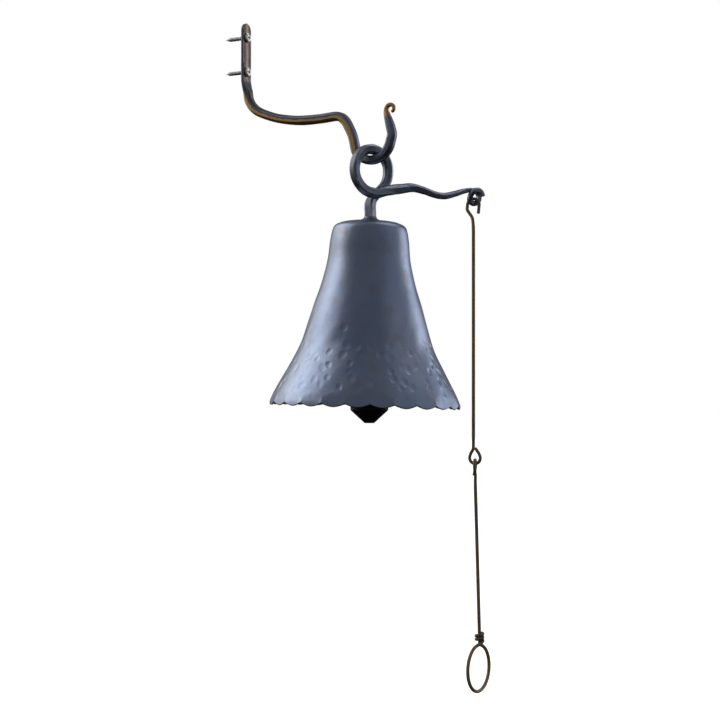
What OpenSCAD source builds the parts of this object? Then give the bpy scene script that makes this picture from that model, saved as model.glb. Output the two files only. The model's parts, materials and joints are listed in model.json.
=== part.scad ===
// Wall mounted bell: a forged hook bracket, a hammered sheet-steel bell on a forged
// hanger with a striking lever, a clapper, and a two-piece wire pull with a ring.
// Millimetres. Origin on the wall, midway between the two screws; +X leaves the wall, +Z is up.

/* [Wall bracket] */
// Height across the flats of the bracket's hammered bar
bracket_bar = 9.6; // [9:0.2:10]
// How far each corner of the bracket's bar is hammered down
bracket_chamfer = 2.6; // [2:0.1:2.8]
// Thickness of the flattened wall plate
plate_t = 3; // [2.5:0.5:4]
// Width of the flattened wall plate
plate_w = 16; // [14:1:20]
// Distance of the hook's lowest point from the wall
hook_x = 155; // [152:1:158]
// Radius of the hook's bend, at the middle of the bar
hook_r = 22; // [21.5:0.25:22.5]

/* [Wall screws] */
// Distance between the two screws
screw_pitch = 36; // [34:1:38]
// Shank diameter of the screws
screw_d = 4.5; // [4:0.5:5]
// Head diameter of the screws
screw_head_d = 10; // [9:0.5:11]
// How far the shanks reach into the wall
screw_reach = 25; // [20:5:45]

/* [Hanger] */
// Width of the hanger's square bar
hanger_bar = 9; // [8.6:0.2:9]
// How far each corner of the hanger's bar is hammered down
hanger_chamfer = 2.1; // [1.8:0.1:2.4]
// Radius of the hanger's ring, at the middle of the bar
ring_r = 22.3; // [22:0.1:22.6]
// Sideways step between the start and the end of the ring
ring_step = 9.8; // [9.6:0.1:10.4]
// Width of the bar at the lever's eye
eye_bar = 5; // [4.8:0.2:5.4]
// Radius of the lever's eye, at the middle of the bar
eye_r = 6.9; // [6.8:0.1:7]
// Direction of the lever, turned from straight out of the wall
lever_azimuth = 66; // [60:1:72]
// Angle that the lever's weight pulls the bell off plumb
rest_lean = 2; // [0:0.5:3]

/* [Bell] */
// Radius of the rim
rim_r = 96; // [92:1:98]
// Height of the bell from crown to rim
bell_h = 186; // [180:1:190]
// Thickness of the sheet
sheet_t = 2; // [1.6:0.2:2.4]
// Number of scallops round the rim
scallops = 25; // [20:1:30]
// Depth of the notch between two scallops
scallop_h = 3; // [2:0.5:4]

/* [Clapper] */
// Diameter of the clapper's rod
clapper_rod_d = 8; // [7:0.5:8]
// Diameter of the clapper's bob
bob_d = 38; // [34:1:40]

/* [Pull] */
// Diameter of the pull's wire
wire_d = 3.4; // [3:0.2:3.6]
// Length of the upper rod, from its hook to its loop
upper_len = 278; // [260:2:290]
// Length of the lower rod, from its loop to the ring
lower_len = 192; // [180:2:200]
// Radius of the pull ring, at the middle of the wire
pull_ring_r = 24; // [20:1:26]
// Turns of wire that close the pull ring
wrap_turns = 2; // [2:1:3]
// Angle that the lower rod hangs off plumb
lower_lean = 2; // [0:0.5:3]

/* [Hidden] */
$fn = 48;

steel_dark = [0.22, 0.24, 0.28];
steel_brown = [0.28, 0.23, 0.19];
steel_bright = [0.72, 0.69, 0.65];

// Free space between the two loops of the pull
link_gap = 0.6;
// Free space between the pull's hook and the lever's eye
eye_gap = 0.9;
// Free space between the hanger's ring and the hook
ring_gap = 1.7;

// Bracket: the hook's lowest point and the middle of its bend
hook_z = -120;
hook_mid_z = hook_z + hook_r;
plate_top = 33;
plate_low = -30;

// Wall screws: the bare core between the head and the thread
screw_core_d = 3.2;

// Hanger, in its own frame: hinge at the origin, +X along the lever, +Z up
ring_mid_z = bracket_bar / 2 + ring_gap + hanger_bar / 2 - ring_r;
eye_x = 128;
eye_z = -25.6;
eye_side = -ring_step / 2;
// Side step of the eye's second turn, which lies in front of its first
eye_step = eye_bar + 0.6;

// Bell, in the hanger's frame
crown_z = -60.5;
tenon_d = 8;
tenon_hole_d = 8.3;
washer_t = 2.5;
washer_gap = 0.45;
washer_z = crown_z - sheet_t - washer_gap - washer_t;
clevis_t = 3;
clevis_w = 14;
clevis_in = 9;
clevis_z = washer_z - clevis_t;
nut_af = 13;
nut_h = 6.5;
pin_z = -92;
pin_d = 5;
pin_hole_d = 5.2;
pin_bore_d = 5.5;

// Clapper, below its pin
bob_low = -171;
bob_band = 14;
bob_tip_r = 6;
bob_cone_h = bob_d / 2 - bob_tip_r;

// Hinge lines: the hook's bar, the eye and the loops of the pull
hinge = [hook_x, 0, hook_z];
eye_world = hanger_to_world([eye_x, eye_side, eye_z]);
arch_z = -eye_r + eye_bar / 2 + eye_gap + wire_d / 2;
loop_side = 1.2;
loop_half_w = 6.2;
loop_h = 16.5;
upper_loop_z = -upper_len;
link_world = eye_world + [loop_side, 0, upper_loop_z + wire_d + link_gap];

function hanger_to_world(p) =
    let (a = lever_azimuth, t = rest_lean,
         x = p.x * cos(t) + p.z * sin(t),
         z = -p.x * sin(t) + p.z * cos(t))
    [hook_x + x * cos(a) - p.y * sin(a), x * sin(a) + p.y * cos(a), hook_z + z];

// ---- Curves and swept bars ----

function last(v) = v[len(v) - 1];
function unit(v) = v / norm(v);
function blend(a, b, t) = a + (b - a) * t;

// One point of a smooth curve through four neighbours
function curve_point(a, b, c, d, t) =
    0.5 * (2 * b + (c - a) * t + (2 * a - 5 * b + 4 * c - d) * t * t
           + (3 * b - a - 3 * c + d) * t * t * t);

// A smooth curve through every point of a list, with a number of steps in each span
function smooth(pts, steps) =
    let (n = len(pts))
    [for (i = [0:n - 2]) for (k = [0:steps - 1])
        curve_point(pts[max(i - 1, 0)], pts[i], pts[i + 1], pts[min(i + 2, n - 1)], k / steps),
     last(pts)];

// An arc in the XZ plane about [x, z], at a side step that runs evenly from y0 to y1
function arc_xz(mid, r, from, to, steps, y0 = 0, y1 = 0) =
    [for (k = [0:steps])
        let (a = blend(from, to, k / steps))
        [mid.x + r * cos(a), blend(y0, y1, k / steps), mid.y + r * sin(a)]];

// Direction of a path at one of its points
function heading(path, i) = unit(path[min(i + 1, len(path) - 1)] - path[max(i - 1, 0)]);

// Outline of a square bar with its corners hammered down, for a width and a chamfer
function bar_outline(w, c) =
    let (h = w / 2, k = h - c)
    [[h, k], [k, h], [-k, h], [-h, k], [-h, -k], [-k, -h], [k, -h], [h, -k]];

function wire_outline(d, sides = 10) =
    [for (i = [0:sides - 1]) d / 2 * [cos(i * 360 / sides), sin(i * 360 / sides)]];

// The first axis of each outline, carried along the path without twisting
function carried(path, side) =
    [for (i = 0, a = square_to(side, heading(path, 0)); i < len(path);
          i = i + 1, a = square_to(a, heading(path, min(i, len(path) - 1)))) a];

// The part of a vector that is square to a direction
function square_to(v, t) = unit(v - (v * t) * t);

// The first axis of each outline, kept as close to +Y as the path allows
function level(path) =
    [for (i = [0:len(path) - 1]) square_to([0, 1, 0], heading(path, i))];

// A solid swept along a path. outlines and firsts hold one outline and the direction of its
// first axis for each point of the path.
module sweep(path, outlines, firsts) {
    m = len(outlines[0]);
    n = len(path);
    points = [for (i = [0:n - 1])
        let (a = firsts[i], b = cross(heading(path, i), a))
        for (q = outlines[i]) path[i] + q.x * a + q.y * b];
    walls = [for (i = [0:n - 2]) for (j = [0:m - 1])
        let (p = i * m + j, q = i * m + (j + 1) % m)
        each [[p, q + m, q], [p, p + m, q + m]]];
    ends = [[for (j = [0:m - 1]) j], [for (j = [m - 1:-1:0]) (n - 1) * m + j]];
    polyhedron(points, concat(walls, ends), convexity = 8);
}

module wire(path, sides = 10) {
    sweep(path, [for (p = path) wire_outline(wire_d, sides)], carried(path, [0, 1, 0]));
}

// The hanger and the bell hang from the hinge, turned with the lever and leaning at rest
module on_hanger() {
    translate(hinge) rotate([0, 0, lever_azimuth]) rotate([0, rest_lean, 0]) children();
}

// The clapper hangs plumb from its pin
module on_clapper_pin() {
    translate(hanger_to_world([0, 0, pin_z])) rotate([0, 0, lever_azimuth]) children();
}

// ---- Wall bracket ----

function bracket_path() = concat(
    smooth([[bracket_bar / 2, 0, plate_low - 10], [5.2, 0, -46], [9.6, 0, -54.2], [17, 0, -60.4],
            [30, 0, -65.8], [45.5, 0, -70.4], [69, 0, -73.8], [94, 0, -74], [111.5, 0, -73],
            [118.5, 0, -74.2], [124, 0, -78.6], [128.5, 0, -86], [132.4, 0, -94],
            [134.8, 0, -102.5]], 4),
    arc_xz([hook_x, hook_mid_z], hook_r, 212, 345, 16),
    smooth([[178.6, 0, -96], [176.2, 0, -87.2], [173.9, 0, -80.5], [172.2, 0, -75.5],
            [171.5, 0, -71.2], [172.6, 0, -67.8], [175.6, 0, -66], [178.9, 0, -66.9],
            [180.6, 0, -69.8], [179.7, 0, -72.5], [177.3, 0, -73.4]], 4));

// The bar is full size up to the hook and tapers to the little scroll at its tip
function bracket_taper(i, n) =
    let (taper_rings = 38, from_tip = min(n - 1 - i, taper_rings) / taper_rings)
    blend(0.3, 1, pow(from_tip, 1.25));

module wall_bracket() {
    path = bracket_path();
    n = len(path);
    color(steel_dark) {
        difference() {
            union() {
                translate([0, 0, plate_low])
                    plate_blank(plate_top - plate_low);
                sweep(path, [for (i = [0:n - 1])
                    bar_outline(1, bracket_chamfer / bracket_bar) * bracket_bar
                    * bracket_taper(i, n)], level(path));
            }
            for (z = [-1, 1] * screw_pitch / 2)
                translate([-1, 0, z]) rotate([0, 90, 0])
                    cylinder(h = plate_t + 2, d = screw_d + 0.2);
        }
        plate_root();
    }
}

// The flattened end of the bar, with a rounded top
module plate_blank(h) {
    translate([0, -plate_w / 2, 0]) cube([plate_t, plate_w, h - plate_w / 2]);
    translate([0, 0, h - plate_w / 2]) rotate([0, 90, 0]) cylinder(h = plate_t, d = plate_w);
}

// The step where the flat plate swells back into the bar
module plate_root() {
    hull() {
        translate([0, -plate_w / 2, plate_low]) cube([plate_t, plate_w, 0.5]);
        translate([0, -bracket_bar / 2 + 1, plate_low - 12])
            cube([bracket_bar, bracket_bar - 2, 0.5]);
    }
}

// ---- Wall screws ----

module wall_screws() {
    head_h = 2.6;
    recess_w = 3;
    point_h = 6;
    color(steel_bright)
    for (z = [-1, 1] * screw_pitch / 2) translate([0, 0, z]) rotate([0, 90, 0]) {
        difference() {
            translate([0, 0, plate_t]) rotate_extrude()
                polygon([[0, 0], [screw_head_d / 2, 0], [screw_head_d / 2, 0.9],
                         [screw_head_d * 0.4, 2], [screw_head_d * 0.22, head_h], [0, head_h]]);
            translate([0, 0, plate_t + 1]) cylinder(h = head_h, d = recess_w, $fn = 6);
        }
        translate([0, 0, -0.5]) cylinder(h = plate_t + 1, d = screw_core_d);
        translate([0, 0, point_h - screw_reach]) cylinder(h = screw_reach - point_h, d = screw_d);
        translate([0, 0, -screw_reach]) cylinder(h = point_h, d1 = 0.6, d2 = screw_d, $fn = 24);
    }
}

// ---- Hanger ----

function hanger_path() =
    let (s = ring_step / 2)
    concat(
        smooth([[0, 0, crown_z], [0, 0, crown_z + 4], [0.4, 0.9, -51], [1.2, 2.8, -45],
                [4.6, s - 0.6, -38.6], [11, s, -32]], 4),
        arc_xz([0, ring_mid_z], ring_r, -41, 262, 46, s - 1, 0.3 - s),
        smooth([[5, -s, -33.4], [14.5, -s, -30.5], [24, -s, -27.8], [34, -s, -25.9],
                [48, -s, -23.5], [62, -s, -25], [75.5, -s, -27.8], [88.5, -s, -28.3],
                [101.5, -s, -25], [113, -s, -21], [121, -s, -19]], 3),
        arc_xz([eye_x, eye_z], eye_r, 88, -140, 19, -s, -s),
        arc_xz([eye_x, eye_z], eye_r, -152, -224, 6, -s - eye_step / 7, -s - eye_step * 6 / 7),
        arc_xz([eye_x, eye_z], eye_r, -236, -345, 9, -s - eye_step, -s - eye_step));

// The bar is full size round the ring and tapers along the lever to its eye
function hanger_width(p) =
    blend(hanger_bar, eye_bar, max(0, min(1, (p.x - 30) / 80)));

module hanger_bar() {
    path = hanger_path();
    color(steel_dark) on_hanger() {
        sweep(path, [for (p = path)
            bar_outline(1, hanger_chamfer / hanger_bar) * hanger_width(p)], level(path));
        translate([0, 0, clevis_z - nut_h - 3])
            cylinder(h = crown_z - clevis_z + nut_h + 3 + 0.5, d = tenon_d);
    }
}

// ---- Bell ----

// Half outline of the bell's outside, from the shoulder to the rim, as [radius, depth]
bell_outline = [[37.5, 10], [39.6, 21], [41.8, 41], [47.5, 65], [54, 85], [60.6, 107],
                [67, 127], [77, 147], [88, 167], [rim_r - 1.7, 180], [rim_r, bell_h]];

function dome_points() = [for (x = [0:6:24]) [x, 2.2 * pow(x / 28, 2)]];

module bell_shell() {
    outer = concat(dome_points(), smooth(concat([[29.5, 2.9], [35, 5.6]], bell_outline), 3));
    n = len(outer);
    inner = [for (i = [0:n - 1])
        let (t = heading(outer, i), p = outer[i] + sheet_t * [-t.y, t.x])
        [max(p.x, 0), i == n - 1 ? bell_h : p.y]];
    color(steel_dark) on_hanger() translate([0, 0, crown_z])
    difference() {
        rotate_extrude($fn = 96)
            polygon([for (p = concat(outer, [for (i = [n - 1:-1:0]) inner[i]])) [p.x, -p.y]]);
        translate([0, 0, -10]) cylinder(h = 20, d = tenon_hole_d);
        for (i = [0:scallops - 1]) rotate([0, 0, (i + 0.5) * 360 / scallops])
            translate([0, 0, -bell_h]) rim_notch();
    }
}

// The gap between two neighbouring scallops, cut through the rim
module rim_notch() {
    half = rim_r * sin(180 / scallops) * 0.7;
    translate([rim_r + 4, 0, 0]) rotate([90, 0, -90])
        linear_extrude(height = 14)
            polygon([[-half, -1], [-half * 0.55, 0.25 * scallop_h], [0, scallop_h],
                     [half * 0.55, 0.25 * scallop_h], [half, -1]]);
}

module crown_collar() {
    color(steel_dark) on_hanger() translate([0, 0, crown_z])
    difference() {
        rotate_extrude()
            polygon([[0, 0.05], [9.5, 0.05], [9.2, 0.7], [7.6, 1.8], [6.9, 3.6], [0, 3.6]]);
        translate([0, 0, -1]) linear_extrude(height = 6)
            square(hanger_bar + 0.1, center = true);
    }
}

module crown_washer() {
    color(steel_brown) on_hanger() translate([0, 0, washer_z])
    difference() {
        cylinder(h = washer_t, d = 24);
        translate([0, 0, -1]) cylinder(h = washer_t + 2, d = tenon_hole_d);
    }
}

module crown_nut() {
    color(steel_bright) on_hanger() translate([0, 0, clevis_z - nut_h])
    difference() {
        cylinder(h = nut_h, d = nut_af / cos(30), $fn = 6);
        translate([0, 0, -1]) cylinder(h = nut_h + 2, d = tenon_d + 0.1);
    }
}

// ---- Clapper ----

module clapper_clevis() {
    arm_h = clevis_z + clevis_t - pin_z;
    color(steel_brown) on_hanger()
    difference() {
        union() {
            translate([-clevis_w / 2, -clevis_in - clevis_t, clevis_z])
                cube([clevis_w, 2 * (clevis_in + clevis_t), clevis_t]);
            for (s = [-1, 1]) translate([0, s * (clevis_in + clevis_t / 2), pin_z]) {
                translate([-clevis_w / 2, -clevis_t / 2, 0]) cube([clevis_w, clevis_t, arm_h]);
                rotate([90, 0, 0]) cylinder(h = clevis_t, d = clevis_w, center = true);
            }
        }
        translate([0, 0, clevis_z - 1]) cylinder(h = clevis_t + 2, d = tenon_hole_d);
        translate([0, 0, pin_z]) rotate([90, 0, 0])
            cylinder(h = 4 * clevis_in, d = pin_hole_d, center = true);
    }
}

module clapper_pin() {
    grip = clevis_in + clevis_t;
    head_t = 2;
    color(steel_bright) on_hanger() translate([0, 0, pin_z]) rotate([90, 0, 0]) {
        cylinder(h = 2 * grip + 0.4, d = pin_d, center = true);
        for (s = [-1, 1]) translate([0, 0, s * (grip + 0.2 + head_t / 2)])
            cylinder(h = head_t, d = pin_d + 3, center = true);
    }
}

module clapper_rod() {
    eye_d = 14;
    eye_t = 10;
    color(steel_brown) on_clapper_pin()
    difference() {
        union() {
            rotate([90, 0, 0]) cylinder(h = eye_t, d = eye_d, center = true);
            translate([0, 0, bob_low + 2.1])
                cylinder(h = -bob_low - 2.1 - eye_d / 2 + 1.5, d = clapper_rod_d);
        }
        rotate([90, 0, 0]) cylinder(h = eye_t + 2, d = pin_bore_d, center = true);
    }
}

module clapper_lock_nut() {
    color(steel_bright) on_clapper_pin()
    translate([0, 0, bob_low + 2 * bob_cone_h + bob_band + 0.2])
    difference() {
        cylinder(h = nut_h, d = nut_af / cos(30), $fn = 6);
        translate([0, 0, -1]) cylinder(h = nut_h + 2, d = clapper_rod_d + 0.1);
    }
}

module clapper_bob() {
    r = bob_d / 2;
    top = 2 * bob_cone_h + bob_band;
    color("black") on_clapper_pin() translate([0, 0, bob_low])
    difference() {
        rotate_extrude()
            polygon([[0, 0], [bob_tip_r - 1, 0], [bob_tip_r, 1], [r, bob_cone_h],
                     [r, bob_cone_h + bob_band], [bob_tip_r + 1, top], [0, top]]);
        translate([0, 0, 2]) cylinder(h = top, d = clapper_rod_d + 0.1);
    }
}

// ---- Pull ----

// A teardrop loop in the XZ plane that starts at the rod. Its end lies against the rod, on the
// rod's side towards -Y or +Y.
function teardrop(rod_x, mid_x, low_z, side) =
    let (w = loop_half_w, off = wire_d + 0.2)
    smooth([[rod_x, 0, low_z + loop_h + 3], [rod_x - 0.4, 0, low_z + loop_h - 1.5],
            [mid_x - w + 1.3, 0, low_z + w + 4.2], [mid_x - w, 0, low_z + w - 0.6],
            [mid_x - 0.7 * w, 0, low_z + 1.5], [mid_x, 0, low_z],
            [mid_x + 0.7 * w, 0, low_z + 1.5], [mid_x + w, 0, low_z + w - 0.6],
            [mid_x + w - 1.1, side * 0.6, low_z + w + 4.2],
            [rod_x + off * cos(30), side * off * sin(30), low_z + loop_h - 0.3]], 3);

function upper_path() = concat(
    smooth([[5.2, 0, -17], [5.6, 0, -12.5], [6, 0, arch_z - 7.5]], 2),
    arc_xz([-0.7, arch_z - 6.9], 7, 10, 170, 10),
    smooth([[-7.6, 0, arch_z - 8], [-8, 0, -12.5], [-5.4, 0, -16.5], [-2.2, 0, -21],
            [-1, 0, -27], [-0.6, 0, -36]], 3),
    [for (k = [1:6]) [-0.6, 0, blend(-36, upper_loop_z + loop_h + 6, k / 6)]],
    teardrop(-0.6, loop_side, upper_loop_z, -1));

module pull_rod_upper() {
    color(steel_brown) translate(eye_world) wire(upper_path());
}

// The lower rod's own frame has its loop's top wire at the origin, with the ring in the XZ
// plane, and -Y towards the side where the wire crosses itself.
rod_x = -0.6;
ring_top_z = -lower_len;
coil_r = wire_d + 0.15;

// The loop, from its end round to the rod, turned about the rod away from the ring's plane
function lower_loop() =
    let (loop_turn = 22, loop = teardrop(rod_x, 0, 0, 1))
    [for (i = [len(loop) - 1:-1:0])
        let (p = loop[i])
        [p.x * cos(loop_turn) - p.y * sin(loop_turn), p.x * sin(loop_turn) + p.y * cos(loop_turn),
         -p.z]];

// The rod, the pull ring and the strand that comes back across the rod
function lower_ring() = concat(
    [for (k = [0:6]) [rod_x, 0, blend(-loop_h - 8, ring_top_z + 14, k / 6)]],
    smooth([[rod_x, 0, ring_top_z + 8], [rod_x, 0, ring_top_z + 2],
            [0.6, 0, ring_top_z - 1.8]], 3),
    arc_xz([rod_x - 4.6, ring_top_z - pull_ring_r - 1.2], pull_ring_r, 68, -258, 40, 0, -0.6),
    smooth([[-6.6, -1.6, ring_top_z - 0.6], [-3.6, -2.7, ring_top_z + 0.6]], 2));

// The turns that close the ring, climbing round the rod
function lower_coil() =
    let (steps = 14, rise = wire_d + 0.25)
    [for (k = [0:wrap_turns * steps + 3])
        let (a = -90 + k * 360 / steps)
        [rod_x + coil_r * cos(a), coil_r * sin(a), ring_top_z + 2.2 + rise * k / steps]];

module pull_rod_lower() {
    plane_turn = 23;
    color(steel_brown) translate(link_world) rotate([0, 0, lever_azimuth])
        rotate([0, -lower_lean, 0]) rotate([0, 0, plane_turn])
        wire(concat(lower_loop(), lower_ring(), lower_coil()));
}

wall_bracket();
wall_screws();
hanger_bar();
crown_collar();
bell_shell();
crown_washer();
clapper_clevis();
crown_nut();
clapper_pin();
clapper_rod();
clapper_lock_nut();
clapper_bob();
pull_rod_upper();
pull_rod_lower();
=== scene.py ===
"""A forged wall bell: hammered bars, a scalloped sheet-steel bell, a clapper and a wire pull.

Sizes are millimetres until a mesh is made. The bell, its clapper and the pull are built in the
frames of their own joints, and every piece rides on the body that carries it."""

import json
import math

import bmesh
import bpy
import numpy as np
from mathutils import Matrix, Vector


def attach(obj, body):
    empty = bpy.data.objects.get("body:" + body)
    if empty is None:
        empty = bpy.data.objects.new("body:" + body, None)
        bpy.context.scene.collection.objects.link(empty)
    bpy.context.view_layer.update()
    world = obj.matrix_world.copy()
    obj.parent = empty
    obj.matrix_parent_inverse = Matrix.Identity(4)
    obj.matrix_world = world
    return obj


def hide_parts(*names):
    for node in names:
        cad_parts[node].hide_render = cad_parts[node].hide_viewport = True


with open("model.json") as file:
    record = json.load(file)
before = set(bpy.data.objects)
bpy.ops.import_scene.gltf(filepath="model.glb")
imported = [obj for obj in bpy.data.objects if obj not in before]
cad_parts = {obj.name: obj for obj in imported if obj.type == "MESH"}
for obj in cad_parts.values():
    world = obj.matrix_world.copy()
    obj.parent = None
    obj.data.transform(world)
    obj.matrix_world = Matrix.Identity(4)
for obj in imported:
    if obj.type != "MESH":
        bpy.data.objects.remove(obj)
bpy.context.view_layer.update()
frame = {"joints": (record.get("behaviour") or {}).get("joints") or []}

MM = 0.001
UP = np.array([0.0, 0.0, 1.0])
JOINTS = {j["name"]: j for j in frame["joints"]}

# Hammered bars: points round a section, how sharp its corners are, and rings in a rounded end
SECTION_POINTS = 96
SECTION_HARDNESS = 60
CAP_RINGS = 5

# Bracket
BAR = 9.6
BAR_CHAMFER = 2.6
PLATE_T = 3.0
PLATE_W = 16.0
PLATE_TOP = 33.0
HOOK_X = 155.0
HOOK_R = 22.0
HOOK_Z = -120.0

# Wall screws
SCREW_PITCH = 36.0
SCREW_D = 4.5
SCREW_CORE_R = 1.6
SCREW_THREAD = 1.9
SCREW_TIP = 6
SCREW_HEAD_D = 10.0
SCREW_HEAD_H = 2.6
SCREW_REACH = 25.0

# Hanger. A turn is how far the hammer has turned the bar's section about its own length
HANGER_BAR = 9.0
HANGER_CHAMFER = 2.1
RING_R = 22.3
RING_GAP = 1.7
RING_STEP = 9.8
EYE_BAR = 5.0
EYE_R = 6.9
EYE_X = 128.0
EYE_Z = -25.6
EYE_STEP = EYE_BAR + 0.6
EYE_START_X = 112
REST_LEAN = 2.0
TENON_D = 8.0
ROD_THREAD = 1.25
STEM_TURN = 25.0
RING_TURN = -14.0
LEVER_TURN = 18.0

# Bell
CROWN_Z = -60.5
RIM_R = 96.0
BELL_H = 186.0
SHEET_T = 2.0
SCALLOPS = 25
SCALLOP_H = 3.0
SCALLOP_COLUMNS = 26
HAMMERED_H = 100
BELL_OUTLINE = [
    (29.5, 2.9), (35, 5.6), (37.5, 10), (39.6, 21), (41.8, 41), (47.5, 65), (54, 85),
    (60.6, 107), (67, 127), (77, 147), (88, 167), (RIM_R - 1.7, 180), (RIM_R, BELL_H),
]

# Clapper
WASHER_T = 2.5
WASHER_Z = CROWN_Z - SHEET_T - WASHER_T - 0.45
STRAP_T = 3.0
STRAP_W = 14.0
STRAP_IN = 9.0
STRAP_Z = WASHER_Z - STRAP_T
NUT_AF = 13.0
NUT_H = 6.5
PIN_Z = -92.0
PIN_D = 5.0
CLAPPER_ROD_D = 8.0
BOB_D = 38.0
BOB_BAND = 14.0
BOB_TIP_R = 6.0
BOB_LOW = -171.0

# Pull
WIRE_D = 3.4
EYE_GAP = 0.9
LINK_GAP = 0.6
UPPER_LEN = 278.0
LOWER_LEN = 192.0
PULL_RING_R = 24.0
WRAP_TURNS = 2 + 3 / 14
LOWER_LEAN = 2.0
LOOP_SIDE = 1.2
LOOP_HALF_W = 6.2
LOOP_H = 16.5
LOOP_TURN = 22.0
ROD_X = -0.6
LOWER_TURN = 23.0


# ---- Frames ----

class Place:
    """Axes with an origin: put() takes points from these axes to the row frame."""

    def __init__(self, origin, x, y, z):
        self.origin = np.array(origin, float)
        self.axes = np.array([x, y, z], float)

    def put(self, points):
        return self.origin + np.asarray(points, float) @ self.axes

    def turned(self, about, degrees):
        """The same origin, with the axes turned about one of them."""
        a, b = [(1, 2), (2, 0), (0, 1)][about]
        c, s = math.cos(math.radians(degrees)), math.sin(math.radians(degrees))
        axes = self.axes.copy()
        axes[a] = c * self.axes[a] + s * self.axes[b]
        axes[b] = c * self.axes[b] - s * self.axes[a]
        return Place(self.origin, *axes)

    def moved(self, x, y, z):
        return Place(self.put([x, y, z]), *self.axes)


def upright_place(origin):
    """Axes with Z up and Y square to the lever's plane, as every joint's axis is."""
    normal = np.array(JOINTS["bell_swing"]["axis"], float)
    normal /= np.linalg.norm(normal)
    return Place(origin, np.cross(UP, normal), -normal, UP)


WALL = Place([0, 0, 0], [1, 0, 0], [0, 1, 0], UP)
HANGER = upright_place(np.array(JOINTS["bell_swing"]["pos_m"]) / MM).turned(1, REST_LEAN)
CLAPPER = upright_place(HANGER.put([0, 0, PIN_Z]))
UPPER_PULL = Place(HANGER.put([EYE_X, -RING_STEP / 2, EYE_Z]), *WALL.axes)
LOWER_PULL = (
    upright_place(UPPER_PULL.put([LOOP_SIDE, 0, -UPPER_LEN + WIRE_D + LINK_GAP]))
    .turned(1, -LOWER_LEAN)
    .turned(2, LOWER_TURN)
)


# ---- Curves ----

def smooth(points, steps=14):
    """A curve through every point, by Catmull and Rom's rule."""
    p = np.array([points[0]] + list(points) + [points[-1]], float)
    t = np.arange(steps)[:, None] / steps
    spans = []
    for a, b, c, d in zip(p, p[1:], p[2:], p[3:]):
        spans.append(0.5 * (2 * b + (c - a) * t + (2 * a - 5 * b + 4 * c - d) * t**2
                            + (3 * b - a - 3 * c + d) * t**3))
    return np.vstack(spans + [p[-1:]])


def xz(points, y=0.0):
    """Points of a flat curve as (x, z), put in space at a side step y."""
    return [(p[0], y, p[1]) for p in points]


def arc(mid, r, start, end, y0=0.0, y1=0.0, steps=120):
    """An arc about (x, z) from one angle to another, with a side step from y0 to y1."""
    a = np.radians(np.linspace(start, end, steps + 1))
    return np.column_stack([
        mid[0] + r * np.cos(a), np.linspace(y0, y1, steps + 1), mid[1] + r * np.sin(a)])


def lengths(path):
    """Distance of each point from the path's start."""
    return np.append(0, np.cumsum(np.linalg.norm(np.diff(path[:, :3], axis=0), axis=1)))


def resampled(path, at):
    """The path's points, and what else its columns hold, at these distances from its start."""
    path = np.asarray(path, float)
    along = lengths(path)
    keep = np.append(True, np.diff(along) > 1e-6)
    return np.column_stack([np.interp(at, along[keep], c[keep]) for c in path.T])


def even(path, step):
    """The same path with its points an even step apart."""
    end = lengths(np.asarray(path, float))[-1]
    return resampled(path, np.linspace(0, end, int(round(end / step)) + 1))


def softened(path, passes=6):
    """Takes the small corners out of a path where its curves meet."""
    path = path.copy()
    for _ in range(passes):
        path[1:-1] = 0.25 * path[:-2] + 0.5 * path[1:-1] + 0.25 * path[2:]
    return path


def headings(path):
    """The path's direction at each point."""
    t = np.gradient(path[:, :3], axis=0)
    return t / np.linalg.norm(t, axis=1)[:, None]


def square_to(v, t):
    """The part of v that is square to t, as a unit vector."""
    v = v - (v @ t) * t
    return v / np.linalg.norm(v)


def level_sides(path):
    """The first axis of each section, as near to +Y as the path allows."""
    return np.array([square_to(np.array([0, 1.0, 0]), t) for t in headings(path)])


def carried_sides(path):
    """The first axis of each section, carried along the path without twisting."""
    side = np.array([0, 1.0, 0])
    sides = []
    for t in headings(path):
        side = square_to(side, t)
        sides.append(side)
    return np.array(sides)


def twisted(path, sides, degrees):
    """The same sides turned about the path by an angle at each point."""
    ups = np.cross(headings(path), sides)
    a = np.radians(degrees)[:, None]
    return np.cos(a) * sides + np.sin(a) * ups


def smoothstep(x):
    """Rises from 0 to 1 as x does, with no corner at either end."""
    x = np.clip(x, 0, 1)
    return x * x * (3 - 2 * x)


# ---- Meshes ----

def wall_faces(rings, n, closed=False):
    """Quads between neighbouring rings of n points. A closed stack joins its last to its first."""
    i = np.arange(rings if closed else rings - 1)[:, None] * n
    j = np.arange(n)[None, :]
    k = (j + 1) % n
    m = (i + n) % (rings * n)
    return np.stack([i + j, i + k, m + k, m + j], axis=-1).reshape(-1, 4).tolist()


def solid_faces(rings, n):
    """The walls of a stack of rings, with its first and last ring filled in."""
    first = list(range(n - 1, -1, -1))
    last = list(range((rings - 1) * n, rings * n))
    return wall_faces(rings, n) + [first, last]


def capped_tube(path, sides, radii, bulge):
    """A solid around a path, its ends rounded. radii holds one row of radii for each point."""
    n = radii.shape[1]
    phi = np.arange(n) * 2 * math.pi / n
    path = path[:, :3]
    ups = np.cross(headings(path), sides)
    rings = (path[:, None, :]
             + (radii * np.cos(phi))[..., None] * sides[:, None, :]
             + (radii * np.sin(phi))[..., None] * ups[:, None, :])
    ends = []
    for i, out in ((0, -1), (len(path) - 1, 1)):
        push = out * headings(path)[i] * radii[i].mean() * bulge
        a = np.radians(np.linspace(0, 78, CAP_RINGS + 1))[1:]
        cap = [path[i] + (rings[i] - path[i]) * math.cos(t) + push * math.sin(t) for t in a]
        ends.append(np.array(cap[::out]))
    rings = np.concatenate([ends[0], rings, ends[1]])
    return rings.reshape(-1, 3), solid_faces(len(rings), n)


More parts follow.
